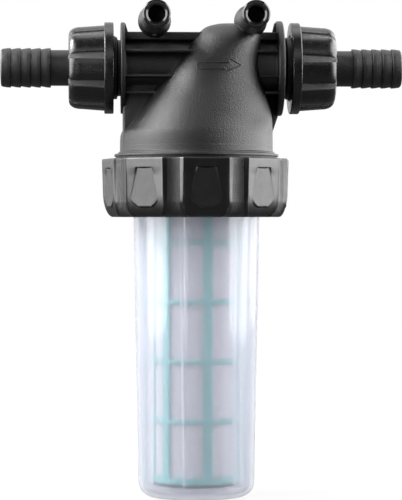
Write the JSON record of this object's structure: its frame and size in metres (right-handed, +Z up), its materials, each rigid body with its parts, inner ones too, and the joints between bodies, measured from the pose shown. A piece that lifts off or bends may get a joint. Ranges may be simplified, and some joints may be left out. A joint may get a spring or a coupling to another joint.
{
  "type": "in-line pressure filter",
  "caption": "In-line liquid filter with a see-through screw-on bowl, a mesh cartridge, hose unions on both ports and wall mounting bosses.",
  "frame": {"origin": "centre of the bowl's flat base", "axes": "+Z up along the bowl's axis, +X along the ports in the direction of flow, -Y the way the two mounting bosses point"},
  "size_m": [0.2662, 0.1288, 0.3259],
  "materials": {
    "head_plastic": "fine grained moulding",
    "nut_plastic": "semi-gloss moulding",
    "bowl_plastic": "milky, see-through and smooth",
    "cage_plastic": "smooth moulding",
    "cloth": "fine woven filter cloth",
    "seal_rubber": "moulded rubber"
  },
  "bodies": {
    "head": {"filter_head": "head_plastic"},
    "bowl": {"bowl": "bowl_plastic", "bowl_seal": "seal_rubber", "cartridge_frame": "cage_plastic", "cartridge_mesh": "cloth", "cartridge_top_seal": "seal_rubber", "cartridge_low_seal": "seal_rubber"},
    "ring": {"bowl_ring_nut": "nut_plastic"},
    "left_tail": {"left_hose_tail": "nut_plastic", "left_tail_seal": "seal_rubber"},
    "left_nut": {"left_union_nut": "nut_plastic"},
    "right_tail": {"right_hose_tail": "nut_plastic", "right_tail_seal": "seal_rubber"},
    "right_nut": {"right_union_nut": "nut_plastic"}
  },
  "joints": [
    {"name": "bowl_travel", "type": "slide", "parent": "head", "child": "bowl", "axis": [0, 0, -1], "range_m": [0, 0.0181]},
    {"name": "ring_turn", "type": "hinge", "parent": "bowl", "child": "ring", "pos_m": [0, 0, 0.2], "axis": [0, 0, -1], "range_deg": [0, 1080]},
    {"name": "left_tail_travel", "type": "slide", "parent": "head", "child": "left_tail", "axis": [-1, 0, 0], "range_m": [0, 0.0128]},
    {"name": "left_nut_turn", "type": "hinge", "parent": "left_tail", "child": "left_nut", "pos_m": [-0.07, 0, 0.2844], "axis": [-1, 0, 0], "range_deg": [0, 1980]},
    {"name": "right_tail_travel", "type": "slide", "parent": "head", "child": "right_tail", "axis": [1, 0, 0], "range_m": [0, 0.0128]},
    {"name": "right_nut_turn", "type": "hinge", "parent": "right_tail", "child": "right_nut", "pos_m": [0.077, 0, 0.2844], "axis": [1, 0, 0], "range_deg": [0, 1980]}
  ],
  "couplings": [
    {"joint": "bowl_travel", "follows": "ring_turn", "m_per_rad": 0.00095493},
    {"joint": "left_tail_travel", "follows": "left_nut_turn", "m_per_rad": 0.00036749},
    {"joint": "right_tail_travel", "follows": "right_nut_turn", "m_per_rad": 0.00036749}
  ]
}
